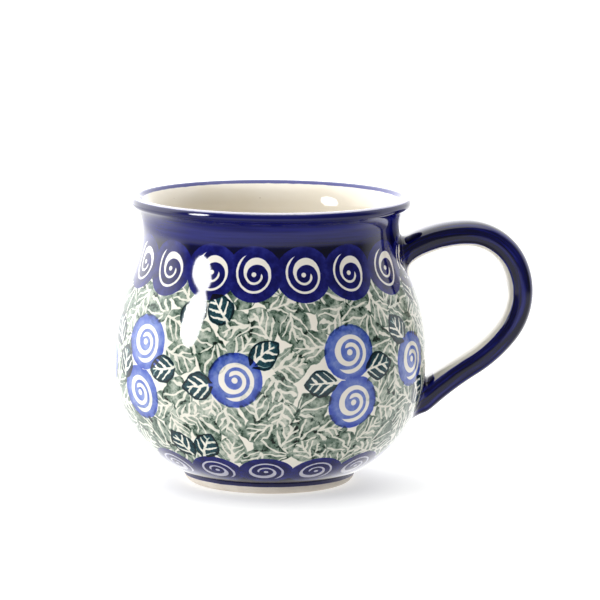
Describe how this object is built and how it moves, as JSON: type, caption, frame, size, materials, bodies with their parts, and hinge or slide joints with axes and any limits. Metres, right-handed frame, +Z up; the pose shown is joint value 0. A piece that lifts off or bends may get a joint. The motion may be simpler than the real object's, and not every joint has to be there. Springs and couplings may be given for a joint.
{
  "type": "stoneware mug",
  "caption": "Round-bellied hand-decorated stoneware mug with a rolled lip, a bare foot ring and a strap handle.",
  "frame": {"origin": "centre of the foot ring, on the plane that the mug stands on", "axes": "+Z up along the mug's turning axis, +X towards the middle of the handle, +Y completes a right-handed frame"},
  "size_m": [0.1296, 0.0968, 0.0885],
  "materials": {
    "clay": "bare buff stoneware, matt",
    "slip": "fired slip, matt",
    "decorated_glaze": "clear gloss glaze over stamped cobalt, sage and cream decoration",
    "cobalt_glaze": "clear gloss glaze over brushed dark cobalt",
    "clear_glaze": "clear gloss glaze over cream clay"
  },
  "bodies": {
    "root": {"body": "clay", "handle": "clay", "upper_slip": "slip", "lower_slip": "slip", "outer_glaze": "decorated_glaze", "handle_glaze": "cobalt_glaze", "inner_glaze": "clear_glaze", "base_glaze": "clear_glaze"}
  },
  "joints": []
}
